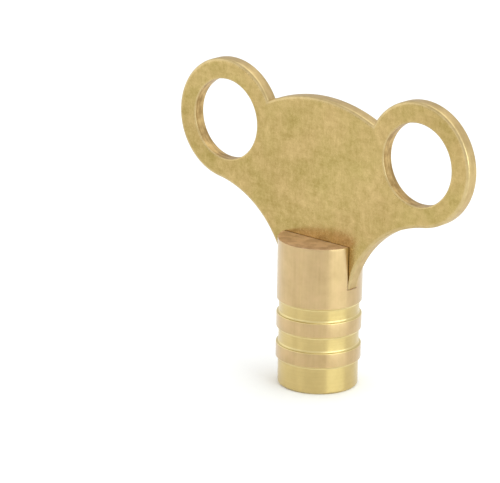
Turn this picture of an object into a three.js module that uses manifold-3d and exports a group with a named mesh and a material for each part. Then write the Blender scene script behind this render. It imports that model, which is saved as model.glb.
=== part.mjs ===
// Radiator bleed key in solid brass.
//
// A turned barrel carries the square socket that fits the bleed valve's spindle. A flat handle
// plate with two ring ears stands in a slot sawn across the barrel's top, and a cross pin holds
// it there. Nothing moves.
//
// Frame: millimetres, +Z up the barrel, origin at the centre of the socket end face.
// X runs from ear to ear and Y through the plate's thickness.

import * as THREE from "three";
import { mergeVertices } from "three/addons/utils/BufferGeometryUtils.js";
import Module from "manifold-3d";

const wasm = await Module();
wasm.setup();

// Barrel
const BAR_DIAMETER = 9;
const BARREL_HEIGHT = 16;
const TURNED_DIAMETER = 8.5;
const BANDS = [
  { from: 3, to: 4.6 },
  { from: 6.3, to: 7.9 },
];
const PLAIN_FROM = 9.4;
const BAND_CHAMFER = 0.1;
const END_CHAMFER = 0.2;

// Square socket: drilled, broached, then countersunk
const SOCKET_ACROSS_FLATS = 5.1;
const SOCKET_DRILL_DIAMETER = 6;
const SOCKET_MOUTH_DIAMETER = 7.3;
const SOCKET_DEPTH = 8;
const BROACH_DEPTH = 7.5;
const DRILL_POINT_ANGLE = THREE.MathUtils.degToRad(118);

// Handle plate
const PLATE_THICKNESS = 1.4;
const PLATE_EDGE_BEVEL = 0.15;
const EAR_CENTRE_X = 12.9;
const EAR_CENTRE_Z = 26.5;
const EAR_RADIUS = 6.55;
const EAR_HOLE_RADIUS = 4.35;
const DOME_RADIUS = 17;
const DOME_TOP_Z = 31.1;
const FLANK_RADIUS = 11.5;
const FOOT_HALF_WIDTH = 4.4;
const SLOT_FLOOR_Z = 11.3;

// Cross pin
const PIN_DIAMETER = 2.25;
const PIN_HEIGHT = 13.5;
const PIN_BLIND_END_Y = -2.8;

// Clearance between fitted pieces, and how far a cutter overruns the face that it opens
const FIT_GAP = 0.05;
const OVERRUN = 1;
const ROUND_SEGMENTS = 64;
const ARC_SEGMENTS = 18;

// ---------------------------------------------------------------- solids and meshes

function solidOf(geometry) {
  geometry.deleteAttribute("normal");
  geometry.deleteAttribute("uv");
  const welded = mergeVertices(geometry);
  const mesh = new wasm.Mesh({
    numProp: 3,
    vertProperties: Float32Array.from(welded.attributes.position.array),
    triVerts: Uint32Array.from(welded.index.array),
  });
  return new wasm.Manifold(mesh);
}

function geometryOf(solid) {
  const mesh = solid.getMesh();
  const geometry = new THREE.BufferGeometry();
  geometry.setAttribute("position", new THREE.BufferAttribute(mesh.vertProperties, 3));
  geometry.setIndex(new THREE.BufferAttribute(mesh.triVerts, 1));
  geometry.computeVertexNormals();
  return geometry;
}

function brass(color, roughness) {
  return new THREE.MeshStandardMaterial({ color, roughness, metalness: 1 });
}

function namedMesh(name, geometry, material) {
  const mesh = new THREE.Mesh(geometry, material);
  mesh.name = name;
  return mesh;
}

// A body of revolution about Z from a profile of [radius, height] points
function turned(profile) {
  const points = profile.map(([radius, height]) => new THREE.Vector2(radius, height));
  return new THREE.LatheGeometry(points, ROUND_SEGMENTS).rotateX(Math.PI / 2);
}

// A straight round bar along Y, at the pin's height
function crossBar(radius, fromY, toY) {
  const bar = new THREE.CylinderGeometry(radius, radius, toY - fromY, ROUND_SEGMENTS / 2);
  return bar.translate(0, (fromY + toY) / 2, PIN_HEIGHT);
}

// A box centred on the Z axis between two heights
function block(width, depth, fromZ, toZ) {
  const box = new THREE.BoxGeometry(width, depth, toZ - fromZ);
  return box.translate(0, 0, (fromZ + toZ) / 2);
}

// ---------------------------------------------------------------- barrel

function barrelProfile() {
  const barRadius = BAR_DIAMETER / 2;
  const turnedRadius = TURNED_DIAMETER / 2;
  const drillRadius = SOCKET_DRILL_DIAMETER / 2;
  const mouthRadius = SOCKET_MOUTH_DIAMETER / 2;
  const drillPoint = drillRadius / Math.tan(DRILL_POINT_ANGLE / 2);

  const profile = [
    [0, SOCKET_DEPTH + drillPoint],
    [drillRadius, SOCKET_DEPTH],
    [drillRadius, mouthRadius - drillRadius],
    [mouthRadius, 0],
    [turnedRadius - END_CHAMFER, 0],
    [turnedRadius, END_CHAMFER],
  ];
  for (const band of BANDS) {
    profile.push(
      [turnedRadius, band.from],
      [barRadius - BAND_CHAMFER, band.from],
      [barRadius, band.from + BAND_CHAMFER],
      [barRadius, band.to - BAND_CHAMFER],
      [barRadius - BAND_CHAMFER, band.to],
      [turnedRadius, band.to],
    );
  }
  profile.push(
    [turnedRadius, PLAIN_FROM],
    [barRadius - BAND_CHAMFER, PLAIN_FROM],
    [barRadius, PLAIN_FROM + BAND_CHAMFER],
    [barRadius, BARREL_HEIGHT - BAND_CHAMFER],
    [barRadius - BAND_CHAMFER, BARREL_HEIGHT],
    [0, BARREL_HEIGHT],
  );
  return profile;
}

function makeBarrel() {
  const slotWidth = PLATE_THICKNESS + 2 * FIT_GAP;
  const slot = block(BAR_DIAMETER + OVERRUN, slotWidth, SLOT_FLOOR_Z, BARREL_HEIGHT + OVERRUN);
  const broach = block(SOCKET_ACROSS_FLATS, SOCKET_ACROSS_FLATS, -OVERRUN, BROACH_DEPTH);
  const pinHole = crossBar(
    PIN_DIAMETER / 2 + FIT_GAP,
    PIN_BLIND_END_Y - FIT_GAP,
    BAR_DIAMETER / 2 + OVERRUN,
  );
  const solid = solidOf(turned(barrelProfile()))
    .subtract(solidOf(slot))
    .subtract(solidOf(broach))
    .subtract(solidOf(pinHole));
  return namedMesh("barrel", geometryOf(solid), brass(0xd9b57a, 0.25));
}

// ---------------------------------------------------------------- handle plate

// Where two circles meet, on the left of the line from the first centre to the second
function circlesMeet(centreA, radiusA, centreB, radiusB) {
  const across = centreB.clone().sub(centreA);
  const distance = across.length();
  const along = (radiusA ** 2 - radiusB ** 2 + distance ** 2) / (2 * distance);
  const aside = Math.sqrt(radiusA ** 2 - along ** 2);
  const direction = across.normalize();
  const left = new THREE.Vector2(-direction.y, direction.x);
  return centreA.clone().addScaledVector(direction, along).addScaledVector(left, aside);
}

function angleTo(centre, point) {
  return point.clone().sub(centre).angle();
}

function circlePath(x, y, radius) {
  return new THREE.Path().absarc(x, y, radius, 0, 2 * Math.PI, false);
}

// The blank's outline in the XZ plane, anticlockwise from the foot's right corner
function plateOutline() {
  const footZ = SLOT_FLOOR_Z + FIT_GAP;
  const foot = new THREE.Vector2(FOOT_HALF_WIDTH, footZ);
  const ear = new THREE.Vector2(EAR_CENTRE_X, EAR_CENTRE_Z);
  const dome = new THREE.Vector2(0, DOME_TOP_Z - DOME_RADIUS);
  const flank = circlesMeet(ear, EAR_RADIUS + FLANK_RADIUS, foot, FLANK_RADIUS);
  const notch = circlesMeet(dome, DOME_RADIUS, ear, EAR_RADIUS);

  const flankStart = angleTo(flank, foot);
  const flankEnd = angleTo(flank, ear);
  const earStart = flankEnd - Math.PI;
  const earEnd = angleTo(ear, notch);
  const domeStart = angleTo(dome, notch);
  const mirrored = (angle) => Math.PI - angle;

  const outline = new THREE.Shape();
  outline.moveTo(foot.x, foot.y);
  outline.absarc(flank.x, flank.y, FLANK_RADIUS, flankStart, flankEnd, true);
  outline.absarc(ear.x, ear.y, EAR_RADIUS, earStart, earEnd, false);
  outline.absarc(dome.x, dome.y, DOME_RADIUS, domeStart, mirrored(domeStart), false);
  outline.absarc(-ear.x, ear.y, EAR_RADIUS, mirrored(earEnd), mirrored(earStart), false);
  outline.absarc(-flank.x, flank.y, FLANK_RADIUS, mirrored(flankEnd), mirrored(flankStart), true);
  outline.closePath();

  outline.holes.push(
    circlePath(ear.x, ear.y, EAR_HOLE_RADIUS),
    circlePath(-ear.x, ear.y, EAR_HOLE_RADIUS),
    circlePath(0, PIN_HEIGHT, PIN_DIAMETER / 2 + FIT_GAP),
  );
  return outline;
}

function makeHandlePlate() {
  const geometry = new THREE.ExtrudeGeometry(plateOutline(), {
    depth: PLATE_THICKNESS - 2 * PLATE_EDGE_BEVEL,
    curveSegments: ARC_SEGMENTS,
    bevelThickness: PLATE_EDGE_BEVEL,
    bevelSize: PLATE_EDGE_BEVEL,
    bevelOffset: -PLATE_EDGE_BEVEL,
    bevelSegments: 1,
  });
  geometry.translate(0, 0, PLATE_EDGE_BEVEL - PLATE_THICKNESS / 2);
  geometry.rotateX(Math.PI / 2);
  return namedMesh("handle_plate", geometryOf(solidOf(geometry)), brass(0xc4a96a, 0.35));
}

// ---------------------------------------------------------------- cross pin

// The pin's outer end is dressed flush with the barrel's round surface
function makeRivetPin() {
  const barRadius = BAR_DIAMETER / 2;
  const pin = solidOf(crossBar(PIN_DIAMETER / 2, PIN_BLIND_END_Y, barRadius + OVERRUN));
  const envelope = solidOf(turned([
    [0, 0],
    [barRadius, 0],
    [barRadius, BARREL_HEIGHT],
    [0, BARREL_HEIGHT],
  ]));
  return namedMesh("rivet_pin", geometryOf(pin.intersect(envelope)), brass(0xd8b880, 0.3));
}

const group = new THREE.Group();
group.name = "radiator_bleed_key";
group.add(makeBarrel(), makeHandlePlate(), makeRivetPin());

export default group;
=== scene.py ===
import math
from functools import partial

import bmesh
import bpy
from mathutils import Matrix, Vector
from mathutils.geometry import delaunay_2d_cdt


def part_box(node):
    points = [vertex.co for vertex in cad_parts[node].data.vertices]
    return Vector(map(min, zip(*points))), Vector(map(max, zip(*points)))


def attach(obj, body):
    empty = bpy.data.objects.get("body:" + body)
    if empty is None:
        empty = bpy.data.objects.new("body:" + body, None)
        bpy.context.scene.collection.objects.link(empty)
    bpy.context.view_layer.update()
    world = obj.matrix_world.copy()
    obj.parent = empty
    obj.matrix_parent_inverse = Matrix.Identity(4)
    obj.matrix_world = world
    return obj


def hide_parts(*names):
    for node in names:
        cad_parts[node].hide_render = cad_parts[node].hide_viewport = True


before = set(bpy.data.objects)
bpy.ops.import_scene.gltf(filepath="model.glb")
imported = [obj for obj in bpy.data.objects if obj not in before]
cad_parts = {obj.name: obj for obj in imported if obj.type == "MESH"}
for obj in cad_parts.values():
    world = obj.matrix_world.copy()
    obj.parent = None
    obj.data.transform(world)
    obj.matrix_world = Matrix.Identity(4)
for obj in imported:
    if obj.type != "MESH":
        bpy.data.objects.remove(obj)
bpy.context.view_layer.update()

# Radiator bleed key: a turned brass barrel, a flat handle plate pinned in its slot, and the pin.
# Everything stands in the CAD frame: +Z up the barrel, X from ear to ear, Y through the plate.
# The origin is the centre of the socket end face. The pieces' sizes are in millimetres and are
# scaled once, when a mesh is made. The studio's are in metres.

MM = 0.001

# ------------------------------------------------------------------ sizes from the frame

barrel_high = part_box("barrel")[1] / MM
plate_low, plate_high = (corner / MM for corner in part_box("handle_plate"))
pin_low, pin_high = (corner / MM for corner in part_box("rivet_pin"))

BAR_RADIUS = barrel_high.y
BARREL_HEIGHT = barrel_high.z
PLATE_THICKNESS = plate_high.y - plate_low.y
PIN_RADIUS = (pin_high.x - pin_low.x) / 2
PIN_HEIGHT = (pin_high.z + pin_low.z) / 2
PIN_INNER_Y = pin_low.y

# ------------------------------------------------------------------ barrel sizes

TURNED_RADIUS = 4.25
BANDS = [(3.0, 4.6), (6.3, 7.9)]
PLAIN_FROM = 9.4
FILLET_DEPTH = 0.17
FILLET_HEIGHT = 0.22
FILLET_STEP = math.radians(15)
BAND_EDGE_RADIUS = 0.07
BAND_EDGE_STEP = math.radians(22.5)
END_CHAMFER = 0.2

SOCKET_ACROSS_FLATS = 5.1
SOCKET_DRILL_RADIUS = 3.0
SOCKET_MOUTH_RADIUS = 3.65
SOCKET_DEPTH = 8.0
DRILL_POINT_ANGLE = math.radians(118)
SOCKET_POINT = SOCKET_DEPTH + SOCKET_DRILL_RADIUS / math.tan(DRILL_POINT_ANGLE / 2)
BROACH_DEPTH = 7.5

SLOT_FLOOR = 11.3
SLOT_FRONT_GAP = 0.06
SLOT_BACK_GAP = 0.01
FIT_GAP = 0.04
OVERRUN = 1.0

# Rows of faces up the barrel's skin start below the slot, whose floor falls halfway up a row
BARREL_COLUMNS = 124
BARREL_ROW = 0.3
ROWS_BELOW_SLOT = 5.5
BARREL_EDGE_RADIUS = 0.05
ROUNDED_FROM_ANGLE = math.radians(33)
SHARP_FROM_ANGLE = math.radians(46)
WELD_DISTANCE = 0.0005

# ------------------------------------------------------------------ pin sizes

PIN_GAP = 0.025
PIN_COLUMNS = 64
PIN_EDGE_RADIUS = 0.07
PIN_EDGE_STEPS = 4

# Rings of points on the pin's end, as shares of its radius
PIN_FACE_RINGS = [0, 0.25, 0.5, 0.75, 0.9]

# ------------------------------------------------------------------ plate sizes

EAR_RADIUS = 6.55
EAR_CENTRE = Vector((plate_high.x - EAR_RADIUS, plate_high.z - EAR_RADIUS))
EAR_HOLE_RADIUS = 4.35
DOME_RADIUS = 17.0
DOME_TOP = 31.1
FLANK_RADIUS = 11.5
FOOT_HALF_WIDTH = 4.4
FOOT_GAP = 0.01
ARC_STEP = math.radians(1.5)

# Width and depth of the edges. The press rolls the front ones over.
FRONT_EDGE = (0.45, 0.25)
FRONT_HOLE_EDGE = (0.25, 0.12)
BACK_EDGE = (0.12, 0.12)
PLATE_EDGE_STEPS = 6
# Depth below the face where the edges' pale worn tint begins, a tint that is partly a painted
# highlight
WEAR_AND_HIGHLIGHT_DEPTH = 0.035

# The part of its width that an outer edge has at the slot's floor, and gains per mm above it
FOOT_EDGE_SHARE = 0.3
EDGE_SHARE_PER_MM = 0.35


# ------------------------------------------------------------------ mesh helpers

def new_piece(name, bm, materials):
    """A mesh object in metres from a bmesh in millimetres."""
    bmesh.ops.recalc_face_normals(bm, faces=bm.faces)
    bmesh.ops.scale(bm, vec=(MM, MM, MM), verts=bm.verts)
    mesh = bpy.data.meshes.new(name)
    bm.to_mesh(mesh)
    bm.free()
    for material in materials:
        mesh.materials.append(material)
    piece = bpy.data.objects.new(name, mesh)
    bpy.context.scene.collection.objects.link(piece)
    return piece


def bake_modifiers(piece):
    """Replaces the piece's mesh by the result of its modifiers."""
    depsgraph = bpy.context.evaluated_depsgraph_get()
    mesh = bpy.data.meshes.new_from_object(piece.evaluated_get(depsgraph))
    piece.modifiers.clear()
    piece.data = mesh


def cut(piece, cutter):
    """Cuts the cutter out of the piece and deletes the cutter."""
    boolean = piece.modifiers.new("cut", "BOOLEAN")
    boolean.operation = "DIFFERENCE"
    boolean.solver = "EXACT"
    boolean.object = cutter
    bake_modifiers(piece)
    bpy.data.objects.remove(cutter)


def weld(piece):
    """Joins the points that cuts leave on top of each other."""
    bm = bmesh.new()
    bm.from_mesh(piece.data)
    bmesh.ops.remove_doubles(bm, verts=bm.verts, dist=WELD_DISTANCE * MM)
    bm.to_mesh(piece.data)
    bm.free()


def weigh_edges(piece, is_rounded):
    """Marks the piece's corners for the bevel, where is_rounded is true of an edge's middle."""
    bm = bmesh.new()
    bm.from_mesh(piece.data)
    weight = bm.edges.layers.float.new("bevel_weight_edge")
    for edge in bm.edges:
        middle = (edge.verts[0].co + edge.verts[1].co) / (2 * MM)
        if edge.calc_face_angle(0) > ROUNDED_FROM_ANGLE and is_rounded(middle):
            edge[weight] = 1.0
    bm.to_mesh(piece.data)
    bm.free()


def round_edges(piece, width, is_rounded):
    weigh_edges(piece, is_rounded)
    bevel = piece.modifiers.new("rounded edges", "BEVEL")
    bevel.limit_method = "WEIGHT"
    bevel.width = width * MM
    bevel.segments = 3
    bevel.use_clamp_overlap = False
    bake_modifiers(piece)


def smooth_shading(piece):
    for polygon in piece.data.polygons:
        polygon.use_smooth = True
    piece.data.set_sharp_from_angle(angle=SHARP_FROM_ANGLE)
    normals = piece.modifiers.new("weighted normals", "WEIGHTED_NORMAL")
    normals.keep_sharp = True
    normals.weight = 100
    bake_modifiers(piece)


def arc(centre, radius, start, end, step=ARC_STEP):
    """Points along an arc, both ends included. Angles in radians, clockwise if end < start."""
    count = max(2, math.ceil(abs(end - start) / step))
    points = []
    for k in range(count + 1):
        angle = start + (end - start) * k / count
        points.append(centre + radius * Vector((math.cos(angle), math.sin(angle))))
    return points


def edge_section(width, depth, steps):
    """A quarter ellipse from a face to the wall: each point's inset and its depth below the face."""
    section = []
    for k in range(steps + 1):
        angle = k * math.pi / 2 / steps
        section.append((width * (1 - math.sin(angle)), depth * (1 - math.cos(angle))))
    return section


def join_rings(bm, first, second, material_index=0):
    """Faces between two rings of points. A ring of one point makes a fan."""
    count = max(len(first), len(second))
    for k in range(count):
        after = (k + 1) % count
        corners = [
            first[k % len(first)], first[after % len(first)],
            second[after % len(second)], second[k % len(second)],
        ]
        face = bm.faces.new(list(dict.fromkeys(corners)))
        face.material_index = material_index


def block_bmesh(size, centre, material_index):
    bm = bmesh.new()
    bmesh.ops.create_cube(bm, size=1.0)
    bmesh.ops.scale(bm, vec=size, verts=bm.verts)
    bmesh.ops.translate(bm, vec=centre, verts=bm.verts)
    for face in bm.faces:
        face.material_index = material_index
    return bm


# ------------------------------------------------------------------ barrel

DRAWN, TURNED, FACED, COUNTERSUNK, BORED, BURNISHED = range(6)


def barrel_profile():
    """Radius, height and surface of the barrel's section, from the socket's point to the top."""
    points = []

    def add(surface, *places):
        for radius, height in places:
            points.append((radius, height, surface))

    def shoulder(height, going_out):
        """A band's end: an edge rounding on the bar's skin and a fillet down to the turned floor."""
        side = -1 if going_out else 1
        edge_centre = Vector((BAR_RADIUS - BAND_EDGE_RADIUS, height - side * BAND_EDGE_RADIUS))
        edge = arc(edge_centre, BAND_EDGE_RADIUS, 0, side * math.pi / 2, BAND_EDGE_STEP)
        fillet = []
        for place in arc(Vector((1, side)), 1, -side * math.pi / 2, -side * math.pi, FILLET_STEP):
            out, along = place.x * FILLET_DEPTH, place.y * FILLET_HEIGHT
            fillet.append(Vector((TURNED_RADIUS + out, height + along)))
        places = edge + fillet
        if going_out:
            places.reverse()
        add(TURNED if going_out else DRAWN, places[0])
        add(BURNISHED, *places[1:])

    countersink = SOCKET_MOUTH_RADIUS - SOCKET_DRILL_RADIUS
    bore_length = SOCKET_DEPTH - countersink
    bore_rows = math.ceil(bore_length / BARREL_ROW)
    add(BORED, (0, SOCKET_POINT))
    for k in range(bore_rows):
        add(BORED, (SOCKET_DRILL_RADIUS, SOCKET_DEPTH - bore_length * k / bore_rows))
    add(BORED, (SOCKET_DRILL_RADIUS, countersink))
    add(COUNTERSUNK, (SOCKET_MOUTH_RADIUS, 0), (TURNED_RADIUS - END_CHAMFER, 0))
    add(BURNISHED, (TURNED_RADIUS, END_CHAMFER))
    add(TURNED, (TURNED_RADIUS, END_CHAMFER + BAND_EDGE_RADIUS))
    for bottom, top in BANDS:
        shoulder(bottom, going_out=True)
        shoulder(top, going_out=False)
    shoulder(PLAIN_FROM, going_out=True)
    height = SLOT_FLOOR - BARREL_ROW * ROWS_BELOW_SLOT
    while height < BARREL_HEIGHT - BARREL_ROW / 4:
        add(DRAWN, (BAR_RADIUS, height))
        height += BARREL_ROW
    add(DRAWN, (BAR_RADIUS, BARREL_HEIGHT))
    add(FACED, (0, BARREL_HEIGHT))
    return points


def revolve(profile, columns):
    """A closed body of revolution. A face takes the surface of the later of its two rings."""
    bm = bmesh.new()
    rings = []
    for radius, height, _ in profile:
        ring = []
        for k in range(columns if radius else 1):
            angle = 2 * math.pi * k / columns
            ring.append(bm.verts.new((radius * math.cos(angle), radius * math.sin(angle), height)))
        rings.append(ring)
    for first, second, (_, _, surface) in zip(rings, rings[1:], profile[1:]):
        join_rings(bm, first, second, surface)
    return bm


def is_outside_edge(place):
    """True off the socket and the pin's bore, where the cutters leave sharp edges."""
    off_axis = math.hypot(place.x, place.y)
    off_pin = math.hypot(place.x, place.z - PIN_HEIGHT)
    in_socket = off_axis < SOCKET_MOUTH_RADIUS - BARREL_EDGE_RADIUS and place.z < SOCKET_POINT
    in_pin_bore = off_pin < PIN_RADIUS + BARREL_EDGE_RADIUS
    return not in_socket and not in_pin_bore


def make_barrel(materials):
    barrel = new_piece("turned_barrel", revolve(barrel_profile(), BARREL_COLUMNS), materials)
    slot_width = SLOT_FRONT_GAP + PLATE_THICKNESS + SLOT_BACK_GAP
    slot_height = BARREL_HEIGHT + OVERRUN - SLOT_FLOOR
    slot = block_bmesh(
        (2 * (BAR_RADIUS + OVERRUN), slot_width, slot_height),
        (0, (SLOT_BACK_GAP - SLOT_FRONT_GAP) / 2, SLOT_FLOOR + slot_height / 2),
        FACED,
    )
    broach = block_bmesh(
        (SOCKET_ACROSS_FLATS, SOCKET_ACROSS_FLATS, BROACH_DEPTH + OVERRUN),
        (0, 0, (BROACH_DEPTH - OVERRUN) / 2),
        BORED,
    )
    cut(barrel, new_piece("slot cutter", slot, materials))
    cut(barrel, new_piece("broach cutter", broach, materials))
    cut(barrel, new_piece("pin bore cutter", pin_bore_bmesh(), materials))
    weld(barrel)
    round_edges(barrel, BARREL_EDGE_RADIUS, is_outside_edge)
    smooth_shading(barrel)
    return barrel


# ------------------------------------------------------------------ pin

def pin_bore_bmesh():
    """A round bar along Y that cuts the pin's bore."""
    from_y = PIN_INNER_Y - FIT_GAP
    to_y = BAR_RADIUS + OVERRUN
    radius = PIN_RADIUS + PIN_GAP
    along_y = Matrix.Rotation(math.pi / 2, 4, "X")
    place = Matrix.Translation((0, (from_y + to_y) / 2, PIN_HEIGHT)) @ along_y
    bm = bmesh.new()
    bmesh.ops.create_cone(
        bm, cap_ends=True, segments=PIN_COLUMNS, radius1=radius, radius2=radius,
        depth=to_y - from_y, matrix=place,
    )
    for face in bm.faces:
        face.material_index = FACED
    return bm


def make_pin(material):
    """The pin's outer end follows the barrel's round surface, a little rounded at its rim."""
    section = [(PIN_RADIUS * share, 0) for share in PIN_FACE_RINGS]
    for distance, drop in edge_section(PIN_EDGE_RADIUS, PIN_EDGE_RADIUS, PIN_EDGE_STEPS)[1:]:
        section.append((PIN_RADIUS - distance, drop))

    bm = bmesh.new()
    rings = []
    for radius, drop in section:
        ring = []
        for k in range(PIN_COLUMNS if radius else 1):
            angle = 2 * math.pi * k / PIN_COLUMNS
            x = radius * math.cos(angle)
            z = PIN_HEIGHT + radius * math.sin(angle)
            ring.append(bm.verts.new((x, math.sqrt(BAR_RADIUS ** 2 - x ** 2) - drop, z)))
        rings.append(ring)
    inner = [bm.verts.new((vert.co.x, PIN_INNER_Y, vert.co.z)) for vert in rings[-1]]
    rings.append(inner)
    for first, second in zip(rings, rings[1:]):
        join_rings(bm, first, second)
    bm.faces.new(inner)
    pin = new_piece("flush_rivet_pin", bm, [material])
    smooth_shading(pin)
    return pin


# ------------------------------------------------------------------ handle plate

SHEET, BLANKED, PUNCHED = range(3)


def circles_meet(centre_a, radius_a, centre_b, radius_b):
    """Where two circles meet, on the left of the line from the first centre to the second."""
    across = centre_b - centre_a
    along = (radius_a ** 2 - radius_b ** 2 + across.length_squared) / (2 * across.length)
    aside = math.sqrt(radius_a ** 2 - along ** 2)
    direction = across.normalized()
    return centre_a + along * direction + aside * Vector((-direction.y, direction.x))


def angle_to(centre, point):
    return math.atan2(point.y - centre.y, point.x - centre.x)


def plate_outline():
    """The blank's outline in X and Z, anticlockwise from the foot's right corner."""
    foot = Vector((FOOT_HALF_WIDTH, SLOT_FLOOR + FOOT_GAP))
    dome = Vector((0, DOME_TOP - DOME_RADIUS))
    flank = circles_meet(EAR_CENTRE, EAR_RADIUS + FLANK_RADIUS, foot, FLANK_RADIUS)
    notch = circles_meet(dome, DOME_RADIUS, EAR_CENTRE, EAR_RADIUS)
    flank_end = angle_to(flank, EAR_CENTRE)
    right = arc(flank, FLANK_RADIUS, angle_to(flank, foot), flank_end)
    right += arc(EAR_CENTRE, EAR_RADIUS, flank_end - math.pi, angle_to(EAR_CENTRE, notch))[1:]
    right += arc(dome, DOME_RADIUS, angle_to(dome, notch), math.pi / 2)[1:]
    left = [Vector((-point.x, point.y)) for point in reversed(right[:-1])]
    return right + left


def moved_outline(distance):
    """The outline moved into the material on its left, with mitred corners, less near the foot."""
    outline = plate_outline()
    moved = []
    for k, point in enumerate(outline):
        before = (point - outline[k - 1]).normalized()
        after = (outline[(k + 1) % len(outline)] - point).normalized()
        left = Vector((-before.y - after.y, before.x + after.x)).normalized()
        spread = left.dot(Vector((-before.y, before.x)))
        share = min(1, FOOT_EDGE_SHARE + EDGE_SHARE_PER_MM * (point.y - SLOT_FLOOR))
        moved.append(point + left * distance * share / spread)
    return moved


def moved_hole(x, z, radius, distance):
    """A hole's outline moved into the material, clockwise, so that the material is on its left."""
    return arc(Vector((x, z)), radius + distance, 2 * math.pi, 0)[:-1]


def add_wall(bm, outline_at, front_edge, surface):
    """A wall between its two rounded edges. Returns its first and last rings of points."""
    half = PLATE_THICKNESS / 2
    front = edge_section(*front_edge, PLATE_EDGE_STEPS)
    back = edge_section(*BACK_EDGE, PLATE_EDGE_STEPS)
    section = [(distance, drop - half) for distance, drop in front]
    section += [(distance, half - drop) for distance, drop in reversed(back)]
    rings = []
    for distance, y in section:
        rings.append([bm.verts.new((point.x, y, point.y)) for point in outline_at(distance)])
    for index, (first, second) in enumerate(zip(rings, rings[1:])):
        join_rings(bm, first, second, surface if index == PLATE_EDGE_STEPS else SHEET)
    return rings[0], rings[-1]


def fill_between(bm, rings):
    """Fills the flat region between the first ring and the round holes that the others bound."""
    verts = [vert for ring in rings for vert in ring]
    places = [Vector((vert.co.x, vert.co.z)) for vert in verts]
    edges = []
    holes = []
    start = 0
    for ring in rings:
        edges += [(start + k, start + (k + 1) % len(ring)) for k in range(len(ring))]
        border = places[start:start + len(ring)]
        middle = sum(border, Vector((0, 0))) / len(ring)
        holes.append((middle, (border[0] - middle).length))
        start += len(ring)
    inside_constraints = 1
    tolerance = 1e-6
    triangles = delaunay_2d_cdt(places, edges, [], inside_constraints, tolerance)[2]
    for triangle in triangles:
        middle = sum((places[k] for k in triangle), Vector((0, 0))) / 3
        if all((middle - hole).length > radius for hole, radius in holes[1:]):
            face = bm.faces.new([verts[k] for k in triangle])
            face.material_index = SHEET


def make_plate(materials):
    """The blank, with its front edges rolled over by the press and its back edges rounded."""
    bm = bmesh.new()
    walls = [add_wall(bm, moved_outline, FRONT_EDGE, BLANKED)]
    for x, z, radius in (
        (EAR_CENTRE.x, EAR_CENTRE.y, EAR_HOLE_RADIUS),
        (-EAR_CENTRE.x, EAR_CENTRE.y, EAR_HOLE_RADIUS),
        (0, PIN_HEIGHT, PIN_RADIUS + FIT_GAP),
    ):
        walls.append(add_wall(bm, partial(moved_hole, x, z, radius), FRONT_HOLE_EDGE, PUNCHED))
    for rings in zip(*walls):
        fill_between(bm, rings)
    plate = new_piece("sheet_handle_plate", bm, materials)
    smooth_shading(plate)
    return plate


# ------------------------------------------------------------------ materials

# Most of a noise's values lie in this range
NOISE_LOW = 0.35
NOISE_HIGH = 0.65

# One step of light and dark, on the sheet and on the bar
SHEET_STEP = (0.50, 0.41, 0.22)
BAR_STEP = (0.50, 0.41, 0.24)

WORN_ROUGHNESS = 0.13
FILM_WEIGHT = 0.5
FILM_ROUGHNESS = 0.22
QUARTER_TURN = 0.25
TOOL_RINGS_PER_MM = 8.0


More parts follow.
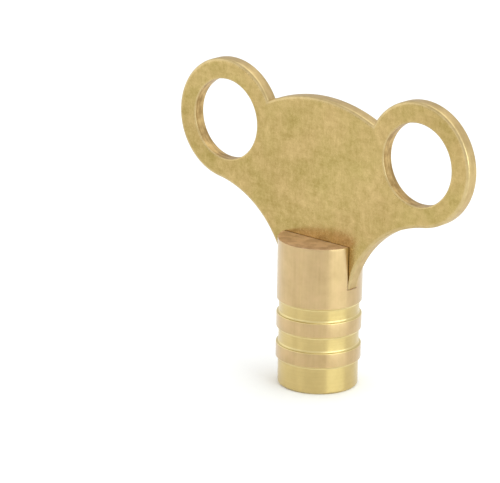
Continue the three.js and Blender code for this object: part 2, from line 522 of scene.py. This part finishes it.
class Graph:
    """A small helper to write a material's nodes as expressions."""

    def __init__(self, name):
        self.material = bpy.data.materials.new(name)
        self.material.use_nodes = True
        self.tree = self.material.node_tree
        self.tree.nodes.clear()
        self.shader = self.node("ShaderNodeBsdfPrincipled")
        output = self.node("ShaderNodeOutputMaterial")
        self.link(self.shader.outputs["BSDF"], output.inputs["Surface"])

    def node(self, kind, **settings):
        node = self.tree.nodes.new(kind)
        for key, value in settings.items():
            setattr(node, key, value)
        return node

    def link(self, source, target):
        """Sets the target socket to a number or a colour, or links it to another socket."""
        if isinstance(source, (int, float, tuple)):
            target.default_value = source
        else:
            self.tree.links.new(source, target)

    def millimetres(self, stretch=(1, 1, 1), shift=(0, 0, 0)):
        """The piece's own coordinates in millimetres, each times its stretch and shifted."""
        coordinates = self.node("ShaderNodeTexCoord").outputs["Object"]
        mapping = self.node("ShaderNodeMapping")
        mapping.inputs["Scale"].default_value = [s / MM for s in stretch]
        mapping.inputs["Location"].default_value = shift
        self.link(coordinates, mapping.inputs["Vector"])
        return mapping.outputs["Vector"]

    def separate(self, vector):
        """The outputs X, Y and Z of a vector."""
        node = self.node("ShaderNodeSeparateXYZ")
        self.link(vector, node.inputs["Vector"])
        return node.outputs

    def noise(self, vector, scale, detail=3, roughness=0.5):
        node = self.node("ShaderNodeTexNoise")
        self.link(vector, node.inputs["Vector"])
        node.inputs["Scale"].default_value = scale
        node.inputs["Detail"].default_value = detail
        node.inputs["Roughness"].default_value = roughness
        return node.outputs["Fac"]

    def remap(self, value, low, high, to_low, to_high):
        node = self.node("ShaderNodeMapRange")
        self.link(value, node.inputs["Value"])
        node.inputs["From Min"].default_value = low
        node.inputs["From Max"].default_value = high
        node.inputs["To Min"].default_value = to_low
        node.inputs["To Max"].default_value = to_high
        return node.outputs["Result"]

    def math(self, operation, first, second=0.0):
        node = self.node("ShaderNodeMath", operation=operation)
        self.link(first, node.inputs[0])
        self.link(second, node.inputs[1])
        return node.outputs["Value"]

    def mix(self, factor, first, second):
        node = self.node("ShaderNodeMix", data_type="RGBA")
        self.link(factor, node.inputs["Factor"])
        self.link(first, node.inputs["A"])
        self.link(second, node.inputs["B"])
        return node.outputs["Result"]

    def blend(self, value, first, second, low=NOISE_LOW, high=NOISE_HIGH):
        """From the first colour to the second as the value goes from low to high."""
        return self.mix(self.remap(value, low, high, 0, 1), first, second)

    def weighted(self, *terms):
        """The sum of each value's distance from a half, times its weight."""
        total = 0.0
        for value, weight in terms:
            total = self.math("ADD", total, self.remap(value, 0, 1, -weight / 2, weight / 2))
        return total

    def stepped(self, color, step, amount):
        """The colour plus an amount of a small step of light and dark."""
        node = self.node("ShaderNodeVectorMath", operation="MULTIPLY_ADD")
        node.inputs[0].default_value = step
        self.link(amount, node.inputs[1])
        self.link(color, node.inputs[2])
        return node.outputs["Vector"]

    def bump(self, height, depth, normal=None):
        """A bump with its depth in millimetres, on top of another one if a normal is given."""
        node = self.node("ShaderNodeBump")
        node.inputs["Distance"].default_value = depth * MM
        self.link(height, node.inputs["Height"])
        if normal:
            self.link(normal, node.inputs["Normal"])
        return node.outputs["Normal"]


def tint(red, green, blue):
    return (red, green, blue, 1.0)


def film(graph):
    """The thin clear film of oil and wax that keeps the brass bright and pales its highlights."""
    graph.shader.inputs["Coat Weight"].default_value = FILM_WEIGHT
    graph.shader.inputs["Coat Roughness"].default_value = FILM_ROUGHNESS


def comb(graph, strength):
    """Stretches the highlights along Z, as fine marks round the barrel do."""
    graph.shader.inputs["Anisotropic"].default_value = strength
    graph.shader.inputs["Anisotropic Rotation"].default_value = QUARTER_TURN
    tangent = graph.node("ShaderNodeTangent", direction_type="RADIAL", axis="Z")
    graph.link(tangent.outputs["Tangent"], graph.shader.inputs["Tangent"])


def metal(graph, color, roughness, normal, metallic=1.0):
    shader = graph.shader
    shader.inputs["Metallic"].default_value = metallic
    graph.link(color, shader.inputs["Base Color"])
    graph.link(roughness, shader.inputs["Roughness"])
    graph.link(normal, shader.inputs["Normal"])
    return graph.material


def sheet_brass():
    """The plate's faces: tumbled sheet, mottled, with faint crossing rubs and pale worn edges, whose
    pale tint is partly a painted highlight, and a tarnish placed as painted shade.
    """
    g = Graph("tumbled sheet brass")
    place = g.millimetres()
    # A wide tarnish, shifted so that its darker part falls on the plate's upper left: partly real
    # tone, partly painted shade
    tarnish_and_shade = g.noise(g.millimetres(shift=(6, 6, 6)), 0.09, 2, 0.5)
    clouds = g.noise(place, 0.3, 4, 0.6)
    mottle = g.noise(place, 1.2, 3, 0.6)
    grain = g.noise(place, 5.0, 3, 0.7)
    rubs_along = g.noise(g.millimetres((0.5, 1, 4.5)), 1.0, 3, 0.6)
    rubs_up = g.noise(g.millimetres((4.5, 1, 0.5)), 1.0, 3, 0.6)
    shade = g.weighted(
        (rubs_along, 0.20), (rubs_up, 0.20), (grain, 0.42),
        (mottle, 0.42), (clouds, 0.38), (tarnish_and_shade, 0.50),
    )
    hue = g.blend(clouds, tint(0.472, 0.353, 0.128), tint(0.492, 0.346, 0.139))
    # Pale tint on the edge roundings: partly real wear, partly a painted highlight along the rolled
    # edges
    worn_and_highlight_hue = g.blend(mottle, tint(0.52, 0.39, 0.18), tint(0.60, 0.46, 0.23))
    off_centre = g.math("ABSOLUTE", g.separate(place)["Y"])
    wear_and_highlight = g.remap(off_centre, PLATE_THICKNESS / 2, PLATE_THICKNESS / 2 - WEAR_AND_HIGHLIGHT_DEPTH, 0, 1)
    color = g.mix(wear_and_highlight, g.stepped(hue, SHEET_STEP, shade), worn_and_highlight_hue)
    roughness = g.remap(grain, NOISE_LOW, NOISE_HIGH, 0.18, 0.28)
    roughness = g.math("ADD", roughness, g.remap(wear_and_highlight, 0, 1, 0, WORN_ROUGHNESS))
    normal = g.bump(mottle, 0.006)
    normal = g.bump(grain, 0.003, normal)
    return metal(g, color, roughness, normal)


def sheared_brass(name, dark, light, shift):
    """A blanked or punched wall: streaked along the wall, in bands from one face to the other."""
    g = Graph(name)
    mottle = g.noise(g.millimetres(shift=shift), 1.2, 4, 0.6)
    bands = g.noise(g.millimetres((0.35, 3.2, 0.35), shift), 1.0, 3, 0.6)
    both = g.math("MULTIPLY", g.math("ADD", mottle, bands), 0.5)
    color = g.blend(both, dark, light, 0.40, 0.60)
    roughness = g.remap(bands, 0.3, 0.7, 0.38, 0.50)
    normal = g.bump(bands, 0.004)
    return metal(g, color, roughness, normal)


def blanked_brass():
    """The plate's outer wall."""
    dark, light = tint(0.475, 0.340, 0.150), tint(0.580, 0.425, 0.205)
    return sheared_brass("blanked edge brass", dark, light, (0, 0, 0))


def punched_brass():
    """The walls of the plate's holes: darker, with more contrast."""
    dark, light = tint(0.330, 0.205, 0.075), tint(0.590, 0.410, 0.176)
    return sheared_brass("punched hole brass", dark, light, (11, 11, 11))


def drawn_brass():
    """The bar's own skin: satin, with faint streaks along the bar."""
    g = Graph("drawn bar skin")
    streaks = g.noise(g.millimetres((2.2, 2.2, 0.12)), 1.6, 4, 0.6)
    mottle = g.noise(g.millimetres(), 0.9, 4, 0.6)
    clouds = g.noise(g.millimetres(shift=(4, 1, 2)), 0.35, 3, 0.6)
    color = g.blend(streaks, tint(0.535, 0.378, 0.174), tint(0.580, 0.412, 0.202), 0.30, 0.70)
    color = g.mix(g.remap(mottle, 0.45, 0.7, 0, 0.5), color, tint(0.560, 0.375, 0.189))
    color = g.stepped(color, BAR_STEP, g.weighted((mottle, 0.30), (clouds, 0.34)))
    roughness = g.remap(mottle, 0.3, 0.7, 0.30, 0.38)
    normal = g.bump(streaks, 0.002)
    comb(g, 0.8)
    film(g)
    return metal(g, color, roughness, normal)


def turned_brass():
    """Freshly turned floors of the grooves and the socket end: bright, with fine tool rings."""
    g = Graph("turned brass")
    rings = g.noise(g.millimetres((0.02, 0.02, 9)), 1.0, 3, 0.7)
    mottle = g.noise(g.millimetres(), 0.7, 4, 0.6)
    color = g.blend(rings, tint(0.580, 0.430, 0.165), tint(0.635, 0.488, 0.195))
    color = g.stepped(color, BAR_STEP, g.weighted((mottle, 0.30)))
    roughness = g.remap(rings, 0.3, 0.7, 0.32, 0.40)
    normal = g.bump(rings, 0.003)
    comb(g, 0.9)
    film(g)
    return metal(g, color, roughness, normal)


def burnished_brass():
    """The grooves' corners and the bands' edges, rubbed bright by the tool."""
    g = Graph("burnished brass")
    rings = g.noise(g.millimetres((0.3, 0.3, 6)), 1.0, 3, 0.7)
    color = g.blend(rings, tint(0.64, 0.51, 0.23), tint(0.74, 0.61, 0.30))
    roughness = g.remap(rings, 0.3, 0.7, 0.30, 0.38)
    normal = g.bump(rings, 0.001)
    return metal(g, color, roughness, normal)


def ringed_brass(name, dark, light, stain, depth, metallic):
    """A flat or conical end surface, with tool rings round the barrel's axis and some stains."""
    g = Graph(name)
    place = g.separate(g.millimetres())
    squares = [g.math("MULTIPLY", place[axis], place[axis]) for axis in "XY"]
    radius = g.math("SQRT", g.math("ADD", *squares))
    combined = g.node("ShaderNodeCombineXYZ")
    g.link(g.math("MULTIPLY", radius, TOOL_RINGS_PER_MM), combined.inputs["X"])
    rings = g.noise(combined.outputs["Vector"], 1.0, 3, 0.7)
    stains = g.noise(g.millimetres(), 0.8, 4, 0.6)
    color = g.blend(rings, dark, light)
    color = g.mix(g.remap(stains, 0.42, 0.58, 0, 0.9), color, stain)
    roughness = g.remap(rings, 0.3, 0.7, 0.30, 0.42)
    normal = g.bump(rings, depth)
    return metal(g, color, roughness, normal, metallic)


def faced_brass():
    """The sawn top end and the slot: dull and brownish."""
    dark, light, stain = tint(0.78, 0.56, 0.42), tint(0.90, 0.66, 0.51), tint(0.60, 0.41, 0.29)
    return ringed_brass("faced brass", dark, light, stain, 0.006, 0.85)


def countersunk_brass():
    """The socket's mouth and its end ring: bright, with strong tool rings."""
    dark, light, stain = tint(0.62, 0.46, 0.19), tint(0.74, 0.58, 0.27), tint(0.66, 0.47, 0.22)
    return ringed_brass("countersunk brass", dark, light, stain, 0.012, 1.0)


def bored_brass():
    """The drilled and broached socket: dull, and darker and redder than the turned brass."""
    g = Graph("bored brass")
    scores = g.noise(g.millimetres((1, 1, 5)), 1.0, 4, 0.7)
    color = g.blend(scores, tint(0.42, 0.23, 0.08), tint(0.55, 0.33, 0.13))
    roughness = g.remap(scores, 0.3, 0.7, 0.30, 0.45)
    normal = g.bump(scores, 0.01)
    return metal(g, color, roughness, normal)


# ------------------------------------------------------------------ pieces

barrel = make_barrel([
    drawn_brass(), turned_brass(), faced_brass(),
    countersunk_brass(), bored_brass(), burnished_brass(),
])
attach(barrel, "root")
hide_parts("barrel")

plate = make_plate([sheet_brass(), blanked_brass(), punched_brass()])
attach(plate, "root")
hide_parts("handle_plate")

pin = make_pin(drawn_brass())
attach(pin, "root")
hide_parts("rivet_pin")

# ------------------------------------------------------------------ floor, light and camera

FLOOR_SIZE = 6.0
STUDIO_BRIGHTNESS = 0.84
LAMPS_AIM = Vector((0, 0, 0.016))
LAMP_COLOR = (0.94, 1.0, 1.0)

CAMERA_AZIMUTH = 40.84
CAMERA_ELEVATION = 17.15
CAMERA_ROLL = 0.95
CAMERA_DISTANCE = 0.3292
CAMERA_TARGET = Vector((-5.39, -5.07, 15.49)) * MM
CAMERA_LENS = 226.7


def make_floor():
    mesh = bpy.data.meshes.new("studio floor")
    half = FLOOR_SIZE / 2
    corners = [(-half, -half, 0), (half, -half, 0), (half, half, 0), (-half, half, 0)]
    mesh.from_pydata(corners, [], [(0, 1, 2, 3)])
    floor = bpy.data.objects.new("studio_floor", mesh)
    bpy.context.scene.collection.objects.link(floor)
    g = Graph("white paper")
    fibres = g.noise(g.millimetres(), 0.8)
    paper = g.mix(fibres, tint(0.93, 0.93, 0.93), tint(0.96, 0.96, 0.96))
    g.link(paper, g.shader.inputs["Base Color"])
    g.shader.inputs["Roughness"].default_value = 0.9
    mesh.materials.append(g.material)


def direction(azimuth, elevation):
    """Unit vector from the object towards a place. Azimuth 0 is in front, 90 to the right."""
    a = math.radians(azimuth)
    e = math.radians(elevation)
    return Vector((math.sin(a) * math.cos(e), -math.cos(a) * math.cos(e), math.sin(e)))


def add_softbox(name, azimuth, elevation, distance, width, height, watts, color=LAMP_COLOR):
    """A lamp that faces the object. Angles in degrees, lengths in metres."""
    light = bpy.data.lights.new(name, "AREA")
    light.shape = "RECTANGLE"
    light.size = width
    light.size_y = height
    light.energy = watts
    light.color = color
    softbox = bpy.data.objects.new(name, light)
    bpy.context.scene.collection.objects.link(softbox)
    towards = direction(azimuth, elevation)
    softbox.location = LAMPS_AIM + towards * distance
    softbox.rotation_euler = (-towards).to_track_quat("-Z", "Y").to_euler()


def light_studio():
    world = bpy.data.worlds.new("studio")
    bpy.context.scene.world = world
    world.use_nodes = True
    background = world.node_tree.nodes["Background"]
    background.inputs["Color"].default_value = (1.0, 1.0, 1.0, 1.0)
    background.inputs["Strength"].default_value = STUDIO_BRIGHTNESS
    add_softbox("overhead softbox", 150, 78, 0.9, 0.9, 0.9, 3.4)
    add_softbox("right softbox", 92, 10, 0.35, 0.34, 0.22, 0.50, (0.94, 1.1, 1.12))
    add_softbox("left softbox", -66, 15, 0.45, 0.5, 0.3, 0.30)
    add_softbox("rim lamp", 76, 38, 0.45, 0.10, 0.26, 0.17)
    add_softbox("front lamp", -12, 10, 0.45, 0.13, 0.30, 0.08)


def add_camera():
    data = bpy.data.cameras.new("camera")
    data.lens = CAMERA_LENS
    data.sensor_width = 36
    data.clip_start = 0.01
    data.clip_end = 20
    camera = bpy.data.objects.new("camera", data)
    bpy.context.scene.collection.objects.link(camera)
    towards = direction(CAMERA_AZIMUTH, CAMERA_ELEVATION)
    aim = (-towards).to_track_quat("-Z", "Y").to_matrix().to_4x4()
    roll = Matrix.Rotation(math.radians(CAMERA_ROLL), 4, "Z")
    camera.matrix_world = Matrix.Translation(CAMERA_TARGET + towards * CAMERA_DISTANCE) @ aim @ roll
    bpy.context.scene.camera = camera


make_floor()
light_studio()
add_camera()
bpy.context.scene.view_settings.view_transform = "Standard"
